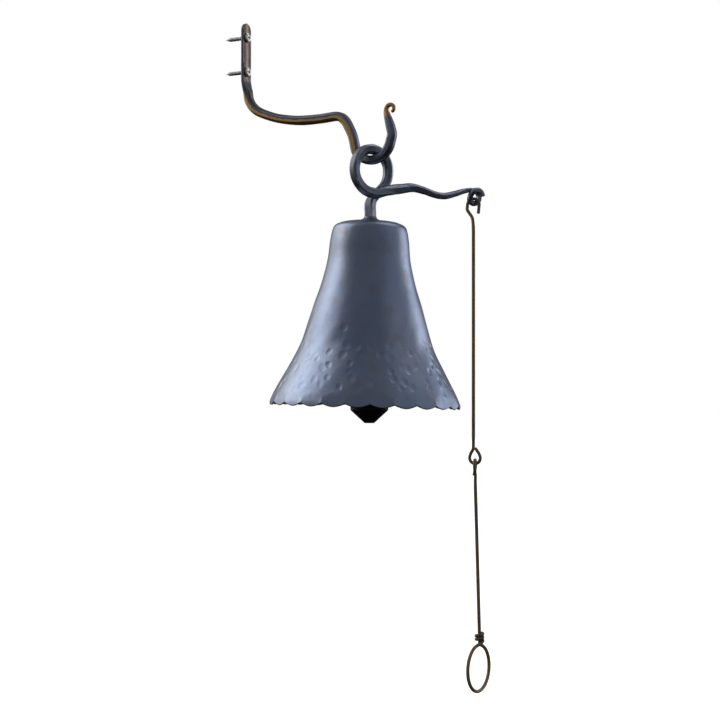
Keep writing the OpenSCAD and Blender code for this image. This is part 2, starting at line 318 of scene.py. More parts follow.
def turned_solid(profile, n=64, lobes=None):
    """A solid turned about Z from a list of (radius, z). lobes scales each radius round the turn."""
    profile = np.array(profile, float)
    phi = np.arange(n) * 2 * math.pi / n
    scale = np.ones((len(profile), n)) if lobes is None else lobes(profile, phi)
    r = profile[:, :1] * scale
    z = np.repeat(profile[:, 1:], n, axis=1)
    points = np.stack([r * np.cos(phi), r * np.sin(phi), z], axis=-1).reshape(-1, 3)
    return points, solid_faces(len(profile), n)


def turned_ring(profile, n=64, lobes=None):
    """A ring turned about Z from a closed outline of (radius, z)."""
    points, _ = turned_solid(profile, n, lobes)
    return points, wall_faces(len(profile), n, closed=True)


def joined(*parts):
    """One mesh of several solids."""
    points, faces, start = [], [], 0
    for p, f in parts:
        points.append(p)
        faces += [[k + start for k in face] for face in f]
        start += len(p)
    return np.vstack(points), faces


def piece(name, place, mesh, body, node, material, crease=40, values=None):
    """A mesh object on its body, in place of the plain node. values are attributes of its points."""
    points, faces = mesh
    data = bpy.data.meshes.new(name)
    data.from_pydata((place.put(points) * MM).tolist(), [], faces)
    data.validate()
    data.update()
    data.shade_smooth()
    data.set_sharp_from_angle(angle=math.radians(crease))
    for key, value in (values or {}).items():
        layer = data.attributes.new(key, "FLOAT", "POINT")
        layer.data.foreach_set("value", np.asarray(value, np.float32).ravel())
    obj = bpy.data.objects.new(name, data)
    bpy.context.scene.collection.objects.link(obj)
    data.materials.append(material)
    outward(data)
    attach(obj, body)
    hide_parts(node)
    return obj


def outward(data):
    """Turns every face's normal out of the solid."""
    mesh = bmesh.new()
    mesh.from_mesh(data)
    bmesh.ops.recalc_face_normals(mesh, faces=mesh.faces)
    mesh.to_mesh(data)
    mesh.free()


# ---- Hammered bar sections ----

def bar_faces(widths, depths, chamfers):
    """Distance of a bar's eight faces from its middle: first axis, corner, second axis and so on."""
    half_w, half_d = widths / 2, depths / 2
    corner = (half_w + half_d - chamfers) / math.sqrt(2)
    return np.column_stack([half_w, corner, half_d, corner] * 2)


def rounded_section(faces, hardness=SECTION_HARDNESS):
    """Radii of a section bounded by faces at even angles, with its corners rounded."""
    phi = np.arange(SECTION_POINTS) * 2 * math.pi / SECTION_POINTS
    angles = np.arange(faces.shape[1]) * 2 * math.pi / faces.shape[1]
    reach = np.maximum(0, np.cos(phi[None, :] - angles[:, None]))
    total = np.einsum("fn,rf->rn", reach**hardness, faces ** (-float(hardness)))
    return total ** (-1.0 / hardness)


def ridges(radii):
    """1 along a bar's ridges and 0 on its flats, for every point of its tube, caps and all."""
    low = radii.min(axis=1, keepdims=True)
    high = radii.max(axis=1, keepdims=True)
    share = ((radii - low) / np.maximum(high - low, 0.01)) ** 3
    cap = np.zeros((CAP_RINGS, radii.shape[1]))
    return np.concatenate([cap, share, cap]).ravel()


def hammer_marks(along, faces, blow, depth, seed):
    """How far each face is hammered in: a row of flat, slightly tilted marks along the bar."""
    random = np.random.default_rng(seed)
    marks = np.zeros((len(along), faces))
    for k in range(faces):
        edges = [-blow * random.random()]
        while edges[-1] < along[-1] + blow:
            edges.append(edges[-1] + blow * random.uniform(0.7, 1.35))
        which = np.searchsorted(edges, along) - 1
        level = random.uniform(0.0, 1.0, len(edges))
        tilt = random.uniform(-0.9, 0.9, len(edges))
        middle = (np.array(edges)[which] + np.array(edges)[which + 1]) / 2
        marks[:, k] = level[which] * 0.7 + tilt[which] * (along - middle) / blow * 0.6
    blur = 1.6
    reach = max(1, int(round(blur / (along[1] - along[0]))))
    kernel = np.hanning(2 * reach + 3)
    kernel /= kernel.sum()
    padded = np.pad(marks, ((reach + 1, reach + 1), (0, 0)), mode="edge")
    for k in range(faces):
        marks[:, k] = np.convolve(padded[:, k], kernel, mode="valid")
    return depth * np.clip(marks, -0.1, 1.2)


def threaded(z0, z1, core, outer, pitch, n=32, step=0.16, tip=0.0):
    """A screw thread along Z. tip is the length over which its low end runs out to a point."""
    z = np.arange(z0, z1 + step, step).clip(z0, z1)
    phi = np.arange(n) * 2 * math.pi / n
    turn = np.mod(z[:, None] / pitch - phi[None, :] / (2 * math.pi), 1)
    crest = np.clip(1 - np.abs(turn - 0.5) * 2.6, 0, 1)
    r = core + (outer - core) * crest
    if tip:
        r = r * np.clip((z[:, None] - z0) / tip, 0.06, 1)
    points = np.stack([r * np.cos(phi), r * np.sin(phi), np.repeat(z[:, None], n, 1)], axis=-1)
    return points.reshape(-1, 3), solid_faces(len(z), n)


# ---- Wall bracket ----

def bracket_path():
    """Middle of the bar as x, y, z, width and depth, from the plate's top to the scroll's tip."""
    plate = [(PLATE_T / 2, 0, z, PLATE_W, PLATE_T) for z in (PLATE_TOP, 20, 0, -18, -27)]
    root = [(2.7, 0, -34, 13.6, 5.4), (4.2, 0, -39.5, 10.8, 8.4)]
    arm = [(4.8, -44), (6.0, -48.5), (9.6, -54.2), (17, -60.4), (30, -65.8), (45.5, -70.4),
           (69, -73.8), (94, -74), (111.5, -73), (118.5, -74.2), (124, -78.6), (128.5, -86),
           (132.4, -94), (134.8, -102.5)]
    scroll = [(178.6, -96, 0.98), (176.2, -87.2, 0.93), (173.9, -80.5, 0.8), (172.2, -75.5, 0.66),
              (171.5, -71.2, 0.53), (172.6, -67.8, 0.47), (175.6, -66, 0.43), (178.9, -66.9, 0.4),
              (180.6, -69.8, 0.37), (179.7, -72.5, 0.34), (177.3, -73.4, 0.31)]
    bend = arc((HOOK_X, HOOK_Z + HOOK_R), HOOK_R, 212, 345)
    bend = np.column_stack([bend, np.full((len(bend), 2), BAR)])
    return np.vstack([
        smooth(plate + root + [(x, 0, z, BAR, BAR) for x, z in arm]), bend,
        smooth([(x, 0, z, size * BAR, size * BAR) for x, z, size in scroll])])


def wall_bracket(material):
    """The bar from its domed plate to the scroll. The ring has worn the hook's bar round."""
    path = bracket_path()
    half, step = PLATE_W / 2, 0.8
    crown = half * (1 - np.cos(np.linspace(0.1, math.pi / 2, 16)))
    at = np.append(crown, np.arange(half + step, lengths(path)[-1], step))
    path = softened(resampled(path, at))
    along = at - at[0]
    dome = np.sqrt(np.clip(1 - ((half - at) / half) ** 2, 0.02, 1))
    widths = path[:, 3] * np.where(at < half, dome, 1)
    depths = np.minimum(path[:, 4], 2 * path[:, 0])
    small = np.minimum(widths, depths)
    faces = bar_faces(widths, depths, 0.9 * BAR_CHAMFER / BAR * small)
    faces -= hammer_marks(along, 8, blow=11, depth=0.45, seed=11) * (small / BAR)[:, None]
    radii = rounded_section(faces)
    worn_reach, worn_fade = 17, 6
    from_ring = np.hypot(path[:, 0] - HOOK_X, path[:, 2] - HOOK_Z)
    worn = smoothstep((worn_reach - from_ring) / worn_fade)[:, None]
    radii -= worn * np.maximum(radii - BAR / 2, 0)
    mesh = capped_tube(path, level_sides(path), radii, bulge=0.0)
    return piece("wall_bracket_forged", WALL, mesh, "bracket", "wall_bracket", material,
                 values={"ridge": ridges(radii), **bracket_tints_and_painted_light(along)})


def bracket_tints_and_painted_light(along):
    """Where the bracket's colour changes: brown oxide on the plate, even bronze patina on the scroll,
    and a bronze band low on the arm's sides that is a painted warm reflection.
    The arm has aged darker than the hook, and painted shade darkens the plate's edges."""
    arm_start, arm_drop, aged_end, arm_end, scroll_start = 66, 196, 216, 254, along[-1] - 34
    cap = np.zeros(CAP_RINGS)
    along = np.concatenate([cap, along, cap + along[-1]])[:, None]
    phi = np.arange(SECTION_POINTS)[None, :] * 360 / SECTION_POINTS
    # Painted warm reflection: a bronze band on the low side of the arm's section, moving round as the
    # arm drops. The scroll's even bronze is patina.
    drop = smoothstep((along - arm_drop) / 20)
    middle = 204 - 20 * drop
    low = np.minimum(np.abs(phi - middle), np.abs(phi - 540 + middle))
    band = smoothstep(1.5 - low / (27 + drop))
    arm = smoothstep((along - arm_start) / 12) * smoothstep((arm_end - along) / 14)
    scroll = smoothstep((along - scroll_start) / 14)
    plate = smoothstep((arm_start - along) / 14) * np.ones_like(band)
    # Painted shade: the plate's two side edges are darkened almost to black.
    edges = np.minimum(np.abs(phi - 180), np.minimum(phi, 360 - phi))
    return {"bronze": np.maximum(band * arm, 0.8 * scroll), "oxide": plate,
            "aged": smoothstep((aged_end - along) / 30) * np.ones_like(band),
            "painted_shade": 0.85 * plate * smoothstep(1.5 - edges / 35)}


# ---- Wall screws ----

def screw_head(n=96):
    """A pan head with a cross recess, its underside at z = 0."""
    r_out = SCREW_HEAD_D / 2
    slot_half, slot_reach, middle_r, recess = 0.75, 2.5, 1.5, 1.9
    radii = np.concatenate([np.linspace(0.06, 2.4, 22), np.linspace(2.6, r_out - 0.1, 14)])
    phi = np.arange(n) * 2 * math.pi / n
    dome = SCREW_HEAD_H - 1.2 * (radii / r_out) ** 4
    x = np.abs(radii[:, None] * np.cos(phi))
    y = np.abs(radii[:, None] * np.sin(phi))
    arm = smoothstep((slot_half - np.minimum(x, y)) / 0.3)
    arm = arm * smoothstep((slot_reach - radii[:, None]) / 0.4)
    z = dome[:, None] - recess * np.maximum(arm, smoothstep((middle_r - radii[:, None]) / 0.5))
    rings = [(radii[i], z[i]) for i in range(len(radii) - 1, -1, -1)]
    below = [(0.5, 0.0), (r_out - 0.15, 0.0), (r_out, 0.15), (r_out, 0.85)]
    rings = [(r, np.full(n, h)) for r, h in below] + rings
    points = [np.column_stack([r * np.cos(phi), r * np.sin(phi), h]) for r, h in rings]
    return np.vstack(points), solid_faces(len(rings), n)


def wall_screw(z):
    """One screw along +Z of its own axes, moved so that it stands in the plate at height z."""
    head = screw_head()
    neck = turned_solid([(SCREW_CORE_R, -0.6), (SCREW_CORE_R, PLATE_T + 0.5)], 32)
    thread = threaded(-SCREW_REACH, 0, SCREW_CORE_R, SCREW_D / 2, SCREW_THREAD, tip=SCREW_TIP)
    lifted = (head[0] + [0, 0, PLATE_T], head[1])
    points, faces = joined(lifted, neck, thread)
    turned = np.column_stack([points[:, 2], points[:, 1], -points[:, 0]])
    return turned + [0, 0, z], faces


def wall_screws(material):
    screws = [wall_screw(s * SCREW_PITCH / 2) for s in (-1, 1)]
    return piece("wall_screws_pan_head", WALL, joined(*screws), "bracket", "wall_screws",
                 material)


# ---- Hanger ----

def ring_middle():
    """Height of the ring's middle over the hinge's axis, which is the middle of the hook's bar."""
    return BAR / 2 + RING_GAP + HANGER_BAR / 2 - RING_R


def hanger_path():
    """Middle of the bar in the hanger's frame, from the crown to the eye's end."""
    side = RING_STEP / 2
    ring_z = ring_middle()
    stem = [(0, 0, CROWN_Z), (0, 0, CROWN_Z + 4), (0.4, 0.9, -51), (1.2, 2.8, -45),
            (4.6, side - 0.6, -38.6), (11, side, -32)]
    lever = [(5, -33.4), (14.5, -30.5), (24, -27.8), (34, -25.9), (48, -23.5), (62, -25),
             (75.5, -27.8), (88.5, -28.3), (101.5, -25), (113, -21), (121, -19)]
    return np.vstack([
        smooth(stem), arc((0, ring_z), RING_R, -41, 262, side - 1, 0.3 - side, 300),
        smooth(xz(lever, -side)), arc((EYE_X, EYE_Z), EYE_R, 88, -140, -side, -side),
        arc((EYE_X, EYE_Z), EYE_R, -145, -231, -side, -side - EYE_STEP),
        arc((EYE_X, EYE_Z), EYE_R, -236, -350, -side - EYE_STEP, -side - EYE_STEP)])


class HangerParts:
    """Which of the hanger's points are in its stem, ring, lever and eye."""

    def __init__(self, path):
        x, ring_side = path[:, 0], path[:, 2] - ring_middle()
        self.path = path
        self.stem = smoothstep((-38 - path[:, 2]) / 6)
        self.ring = (np.hypot(x, ring_side) < RING_R + 2) & (self.stem == 0)
        self.from_top = np.abs(np.degrees(np.arctan2(ring_side, x)) - 90)
        self.lever = (path[:, 1] < -RING_STEP / 2 + 0.2) & (x > 0)
        self.eye = np.arange(len(path)) >= np.argmax(x > EYE_START_X)

    def widths(self):
        """The bar's width, drawn down along the lever to the eye's."""
        shrink = np.where(self.lever, np.clip((self.path[:, 0] - 30) / 80, 0, 1), 0)
        return HANGER_BAR + (EYE_BAR - HANGER_BAR) * np.where(self.eye, 1, shrink)

    def turns(self):
        """Degrees that the section is turned by, eased from part to part."""
        stem_points = 60
        from_top = np.minimum(self.from_top, 360 - self.from_top)
        stem = STEM_TURN * smoothstep((-34 - self.path[:, 2]) / 12)
        stem[stem_points:] = 0
        ring = RING_TURN * np.where(self.ring, smoothstep((from_top - 42) / 25), 0)
        lever = LEVER_TURN * np.where(self.lever, smoothstep((self.path[:, 0] - 8) / 20), 0)
        lever[self.eye] = 0
        return np.convolve(stem + ring + lever, np.hanning(25) / 12, mode="same")

    def fuller_inside(self):
        """How much fuller the ring is where it hangs on the hook."""
        return 0.4 * np.where(self.ring, smoothstep((38 - self.from_top) / 18), 0)


def hanger_bar(material):
    path = softened(even(hanger_path(), 0.7))
    parts = HangerParts(path)
    widths = parts.widths()
    chamfers = HANGER_CHAMFER / HANGER_BAR * widths * (0.85 - 0.35 * parts.stem)
    faces = bar_faces(widths, widths, chamfers)
    full = 0.3 + 0.25 * parts.stem[:, None]
    marks = hammer_marks(lengths(path), 8, blow=10, depth=0.45, seed=23)
    faces += (full - marks) * (widths / HANGER_BAR)[:, None]
    inner_face = 2
    faces[:, inner_face] += parts.fuller_inside()
    radii = rounded_section(faces)
    sides = twisted(path, level_sides(path), parts.turns())
    bar = capped_tube(path, sides, radii, bulge=0.25)
    low = STRAP_Z - NUT_H - 3
    tenon = threaded(low, CROWN_Z + 0.4, TENON_D / 2 - 0.55, TENON_D / 2, ROD_THREAD)
    ridge = np.concatenate([ridges(radii), np.zeros(len(tenon[0]))])
    return piece("hanger_forged", HANGER, joined(bar, tenon), "bell", "hanger_bar",
                 material, values={"ridge": ridge})


def crown_collar(material):
    """The stem's end, upset to a small flared collar."""
    z = CROWN_Z
    flare = [(4.2, z + 0.1), (9.2, z + 0.2), (9.4, z + 0.45), (9.0, z + 0.8), (7.9, z + 1.2),
             (7.0, z + 1.8), (6.5, z + 2.6), (6.3, z + 3.4), (6.0, z + 3.7), (4.2, z + 3.6)]
    return piece("crown_collar_upset", HANGER, turned_ring(flare, 72), "bell", "crown_collar",
                 material)


# ---- Bell ----

def bell_outline():
    """The bell's outside as fine (radius, depth, 0) points, from the crown's hole to the rim."""
    dome = [(x, 2.2 * (x / 28) ** 2) for x in (4.15, 8, 12, 18, 24)]
    line = smooth(dome + BELL_OUTLINE, 24)
    return even(np.column_stack([line, np.zeros(len(line))]), 0.5)


def dent_field(theta, along, length, radius):
    """Depth of the hammer's oval dents at each angle and distance along the outline.
    They lie in rows, each with its distance from the rim and the share of its dents that is there."""
    random = np.random.default_rng(7)
    depth = np.zeros_like(theta)
    rows = [(86, 0.12), (76, 0.35), (66, 0.65), (56, 0.85),
            (47, 0.9), (38, 0.9), (29, 0.9), (20, 0.8)]
    for from_rim, share in rows:
        count = 26 + random.integers(0, 3)
        start = random.uniform(0, 1)
        for i in range(count):
            at = (i + start + random.uniform(-0.3, 0.3)) * 2 * math.pi / count
            low = length - from_rim + random.uniform(-3.6, 3.6)
            short_r = random.uniform(2.9, 4.4)
            long_r = short_r * random.uniform(1.1, 1.5)
            lean = random.uniform(-0.7, 0.7)
            deep = random.uniform(0.18, 0.52)
            if random.random() > share:
                continue
            x = np.angle(np.exp(1j * (theta - at))) * radius
            y = along - low
            p = x * math.cos(lean) + y * math.sin(lean)
            q = y * math.cos(lean) - x * math.sin(lean)
            inside = np.clip(1 - (p / short_r) ** 2 - (q / long_r) ** 2, 0, 1)
            depth = np.maximum(depth, deep * inside**0.9)
    return depth


def wavy(theta, along, seed, size, turns=9):
    """Slow, seeded waves over the bell, about size mm long."""
    random = np.random.default_rng(seed)
    total = np.zeros_like(theta)
    waves = 14
    for _ in range(waves):
        k = random.integers(1, turns)
        m = random.uniform(0.4, 1) * 2 * math.pi / size
        total += np.cos(k * theta + m * along + random.uniform(0, 6.3)) / waves
    return total


def bell_surface():
    """Rings of points from the crown's hole down the outside to the rim and back up the inside.
    With them comes how near the rim's edge each point is, from 0 to 1."""
    line = bell_outline()
    full = lengths(line)
    length = full[-1]
    pitch = 2 * math.pi / SCALLOPS
    columns = SCALLOPS * SCALLOP_COLUMNS
    theta = (np.arange(columns) / SCALLOP_COLUMNS + 0.5) * pitch
    smooth_rows = np.linspace(0, length - HAMMERED_H, 54)[:-1]
    hammered_rows = np.linspace(length - HAMMERED_H, length, 118)
    theta, s = np.meshgrid(theta, np.concatenate([smooth_rows, hammered_rows]))
    lobe = 2 * np.mod(theta / pitch - 0.5, 1) - 1
    trim = SCALLOP_H * np.abs(lobe) ** 1.8
    trim_reach = 26
    s = s - trim * smoothstep((s - (length - trim_reach)) / trim_reach)
    radius = np.interp(s, full, line[:, 0])
    depth = np.interp(s, full, line[:, 1])
    slope_r = np.interp(s, full, np.gradient(line[:, 0], full))
    slope_z = np.interp(s, full, np.gradient(line[:, 1], full))
    from_rim = length - trim - s
    reach = 6 + 9 * (1 - np.abs(lobe)) ** 0.6
    dish = 1.0 * (1 - lobe**2) * np.clip(1 - (from_rim / reach) ** 2, 0, 1) ** 1.6
    dents = np.maximum(dent_field(theta, s, length, radius), dish)
    slow = 0.3 * wavy(theta, s, seed=3, size=70) * smoothstep(s / 30)
    quick = 0.5 * smoothstep((s - 70) / 60) * wavy(theta, s, seed=5, size=26, turns=26)
    sink = dents + 0.15 - (slow + quick) * 0.5
    wall = SHEET_T - 0.7 * smoothstep((s - (length - 12)) / 12)

    def skin(inward):
        r = radius - inward * slope_z
        z = -depth - inward * slope_r
        return np.stack([r * np.cos(theta), r * np.sin(theta), CROWN_Z + z], axis=-1)

    # The rim's edge is rounded between the two skins
    outer = skin(sink)
    inner = skin(sink * 0.8 + wall)
    edge_drop = [0, 0, 0.35]
    edge_out = skin(sink + wall * 0.2)[-1:] - edge_drop
    edge_in = skin(sink * 0.8 + wall * 0.8)[-1:] - edge_drop
    rings = np.concatenate([outer, edge_out, edge_in, inner[::-1]])
    # Nearness to the rim's edge, which the sheet finish turns into a painted line of shade.
    near = np.clip(1 - from_rim / 0.8, 0, 1)
    ones = np.ones((1, columns))
    rim = np.concatenate([near, ones, ones, near[::-1]])
    return rings, rim


def bell_shell(material):
    rings, rim = bell_surface()
    mesh = (rings.reshape(-1, 3), wall_faces(rings.shape[0], rings.shape[1], closed=True))
    return piece("bell_hammered", HANGER, mesh, "bell", "bell_shell", material,
                 crease=55, values={"rim_shade_and_wear": rim})


# ---- Inside the bell ----

def hexagon(profile, phi):
    """Scales a nut's radii to a hexagon wherever the turned outline is wider than it."""
    flat = NUT_AF / 2
    face = np.mod(phi, math.pi / 3) - math.pi / 6
    hexagonal = flat / np.cos(face)
    outside = profile[:, :1] > flat - 1
    return np.where(outside, np.minimum(profile[:, :1], hexagonal) / profile[:, :1], 1)


def nut(z, bore):
    """A hexagon nut with its corners chamfered at both ends."""
    corner = NUT_AF / 2 / math.cos(math.pi / 6)
    outline = [(bore, z), (bore + 1, z), (NUT_AF / 2 - 0.2, z), (corner, z + 0.75), (corner, z + 2),
               (corner, z + NUT_H - 2), (corner, z + NUT_H - 0.75),
               (NUT_AF / 2 - 0.2, z + NUT_H), (bore + 1, z + NUT_H), (bore, z + NUT_H)]
    return turned_ring(outline, 96, hexagon)


def crown_nut(material):
    mesh = nut(STRAP_Z - NUT_H, TENON_D / 2 + 0.05)
    return piece("crown_nut_hexagon", HANGER, mesh, "bell", "crown_nut", material,
                 crease=25)


def crown_washer(material):
    """A plain washer with its outer edges rubbed off."""
    bore, r, edge = 4.15, 12, 0.4
    z, top = WASHER_Z, WASHER_Z + WASHER_T
    outline = [(bore, z), (r - edge, z), (r, z + edge), (r, top - edge), (r - edge, top), (bore, top)]
    return piece("crown_washer_plain", HANGER, turned_ring(outline, 96), "bell", "crown_washer",
                 material, crease=25)


def clapper_clevis(material):
    """A strap bent to a U, its arms rounded round the pin."""
    half = STRAP_IN + STRAP_T / 2
    bend = 4.0
    top = STRAP_Z + STRAP_T / 2
    low = PIN_Z - STRAP_W / 2
    corner = arc((half - bend, top - bend), bend, 90, 0, steps=16)
    side = [(half, 0, z) for z in np.linspace(top - bend, low, 60)[1:]]
    arm = np.vstack([[(x, 0, top) for x in np.linspace(0, half - bend, 8)[:-1]], corner, side])
    path = np.vstack([arm[:0:-1] * [-1, 1, 1], arm])
    path = np.column_stack([path[:, 1], path[:, 0], path[:, 2]])
    path = even(path, 0.5)
    above = np.clip((path[:, 2] - low) / (STRAP_W / 2), 0.004, 1)
    widths = STRAP_W * np.sqrt(1 - (1 - above) ** 2)
    ones = np.ones(len(path))
    chamfer = 0.7
    faces = bar_faces(widths, STRAP_T * ones, chamfer * ones)
    sides = np.tile([1.0, 0, 0], (len(path), 1))
    mesh = capped_tube(path, sides, rounded_section(faces, hardness=30), bulge=0.1)
    return piece("clapper_strap", HANGER, mesh, "bell", "clapper_clevis", material)


def clapper_pin(material):
    """A pin across the strap, riveted to a dome at each end."""
    grip = STRAP_IN + STRAP_T + 0.2
    r = PIN_D / 2
    head = [(r, grip), (r + 1.5, grip), (r + 1.5, grip + 0.5), (r + 1.1, grip + 1.2),
            (r, grip + 1.7), (r * 0.5, grip + 1.95), (0.1, grip + 2)]
    outline = [(x, -z) for x, z in head[::-1]] + head
    place = HANGER.moved(0, 0, PIN_Z).turned(0, 90)
    return piece("clapper_pin_riveted", place, turned_solid(outline, 48), "bell", "clapper_pin",
                 material, crease=30)


def clapper_rod(material):
    """A rod with a forged eye at its top and a thread at its bottom."""
    bore, out, half = 2.75, 7.0, 5.0
    eye = [(bore, -half + 0.6), (bore + 0.6, -half), (out - 1.2, -half), (out, -half + 1.2),
           (out, half - 1.2), (out - 1.2, half), (bore + 0.6, half), (bore, half - 0.6)]
    points, faces = turned_ring(eye, 72)
    eye_mesh = (np.column_stack([points[:, 0], points[:, 2], points[:, 1]]), faces)
    r = CLAPPER_ROD_D / 2
    thread_top = BOB_LOW + 2 * (BOB_D / 2 - BOB_TIP_R) + BOB_BAND + NUT_H + 8
    neck = [(r, thread_top - 0.5), (r, -14), (r + 0.3, -10), (r + 1.2, -7.5), (r + 1.2, -5.6)]
    shaft = turned_solid(neck, 48)
    thread = threaded(BOB_LOW + 2.2, thread_top, r - 0.6, r - 0.02, ROD_THREAD)
    return piece("clapper_rod_eyed", CLAPPER, joined(eye_mesh, shaft, thread), "clapper",
                 "clapper_rod", material)


def clapper_lock_nut(material):
    z = BOB_LOW + 2 * (BOB_D / 2 - BOB_TIP_R) + BOB_BAND + 0.2
    return piece("clapper_lock_nut_hexagon", CLAPPER, nut(z, CLAPPER_ROD_D / 2 + 0.05), "clapper",
                 "clapper_lock_nut", material, crease=25)


def clapper_bob(material):
    """A turned bob: two cones and a band, with the lathe's fine grooves."""
    r = BOB_D / 2
    cone = r - BOB_TIP_R
    corners = [(0.2, 0), (BOB_TIP_R - 1, 0), (BOB_TIP_R, 1), (r - 0.5, cone - 0.5), (r, cone + 0.6),
               (r, cone + BOB_BAND - 0.6), (r - 0.5, cone + BOB_BAND + 0.5),
               (BOB_TIP_R + 1, 2 * cone + BOB_BAND), (0.2, 2 * cone + BOB_BAND)]
    line = even(np.array([(x, z, 0) for x, z in corners], float), 0.25)
    deep, pitch = 0.035, 0.9
    groove = deep * (1 + np.cos(2 * math.pi * lengths(line) / pitch))
    groove = groove * np.clip(line[:, 0] / 4 - 0.3, 0, 1)
    outline = [(max(x - g, 0.1), z + BOB_LOW) for (x, z, _), g in zip(line, groove)]
    return piece("clapper_bob_turned", CLAPPER, turned_solid(outline, 96), "clapper",
                 "clapper_bob", material, crease=60)


# ---- Pull ----

def wire_mesh(path, seed, low, high):
    """A round wire along a path, slightly uneven, and a little fuller between two heights."""
    path = softened(even(path, 0.6), 3)
    random = np.random.default_rng(seed)
    wobble = np.convolve(random.uniform(-1, 1, len(path) + 40), np.hanning(41) / 20, mode="valid")
    z = path[:, 2:]
    fuller = smoothstep((z - low) / 6) * smoothstep((high - z) / 6)
    radii = np.full((len(path), 20), WIRE_D / 2) + 0.03 * wobble[:len(path), None] + 0.12 * fuller
    return capped_tube(path, carried_sides(path), radii, bulge=0.4)


def teardrop(rod_x, mid_x, low_z, side):
    """A loop that starts at the rod and ends against it, on its side towards -Y or +Y."""
    w, h, off = LOOP_HALF_W, LOOP_H, WIRE_D + 0.2
    end_x, end_y = off * math.cos(math.radians(30)), off * math.sin(math.radians(30))
    return [(rod_x, 0, low_z + h + 3), (rod_x - 0.4, 0, low_z + h - 1.5),
            (mid_x - w + 1.3, 0, low_z + w + 4.2), (mid_x - w, 0, low_z + w - 0.6),
            (mid_x - 0.7 * w, 0, low_z + 1.5), (mid_x, 0, low_z), (mid_x + 0.7 * w, 0, low_z + 1.5),
            (mid_x + w, 0, low_z + w - 0.6), (mid_x + w - 1.1, side * 0.6, low_z + w + 4.2),
            (rod_x + end_x, side * end_y, low_z + h - 0.3)]


def pull_rod_upper(material):
    """The wire's short end, its arch over the eye's bar, the rod and the closed loop."""
    top = -EYE_R + EYE_BAR / 2 + EYE_GAP + WIRE_D / 2
    low = -UPPER_LEN
    tail = [(5.2, -17), (5.6, -12.5), (6, top - 7.5)]
    leg = [(-7.6, top - 8), (-8, -12.5), (-5.4, -16.5), (-2.2, -21), (-1, -27), (ROD_X, -36),
           (ROD_X, -60), (ROD_X, low + LOOP_H + 30)]
    path = np.vstack([
        smooth(xz(tail)), arc((-0.7, top - 6.9), 7, 10, 170),
        smooth(xz(leg) + teardrop(ROD_X, LOOP_SIDE, low, -1))])
    mesh = wire_mesh(path, seed=31, low=low + 24, high=-26)
    return piece("pull_rod_upper_wire", UPPER_PULL, mesh, "upper_pull", "pull_rod_upper",
                 material)


def pull_rod_lower(material):
    """The closed loop, the rod, the finger ring, and the wire's end wound round the rod above it."""
    top = -LOWER_LEN
    c, s = math.cos(math.radians(LOOP_TURN)), math.sin(math.radians(LOOP_TURN))
    loop = [(x * c - y * s, x * s + y * c, -z) for x, y, z in teardrop(ROD_X, 0, 0, 1)][::-1]
    rod = [(ROD_X, -LOOP_H - 8), (ROD_X, -LOOP_H - 30), (ROD_X, top + 40), (ROD_X, top + 14),
           (ROD_X, top + 8), (ROD_X, top + 2), (0.6, top - 1.8)]
    ring = arc((ROD_X - 4.6, top - PULL_RING_R - 1.2), PULL_RING_R, 68, -258, 0, -0.6, 300)
    back = [(-6.6, -1.6, top - 0.6), (-3.6, -2.7, top + 0.6)]
    coil_r = WIRE_D + 0.15
    rise = WIRE_D + 0.25
    turns = np.arange(0, WRAP_TURNS + 0.001, 1 / 40)
    a = np.radians(-90 + 360 * turns)
    coil_low = top + 2.2
    coil = np.column_stack([
        ROD_X + coil_r * np.cos(a), coil_r * np.sin(a), coil_low + rise * turns])
    path = np.vstack([smooth(loop + xz(rod)), ring, smooth(back), coil])
    mesh = wire_mesh(path, seed=47, low=-LOWER_LEN * 2, high=-24)
    z = mesh[0][:, 2]
    # Painted shade: the coil, the rod inside it and the ring's top are darkened, as in the shade
    # between the turns.
    painted_shade = 0.35 * smoothstep((z - top + 9) / 8) * smoothstep((top + 14 - z) / 4)
    return piece("pull_rod_lower_wire", LOWER_PULL, mesh, "lower_pull", "pull_rod_lower",
                 material, values={"painted_shade": painted_shade})


# ---- Finishes ----

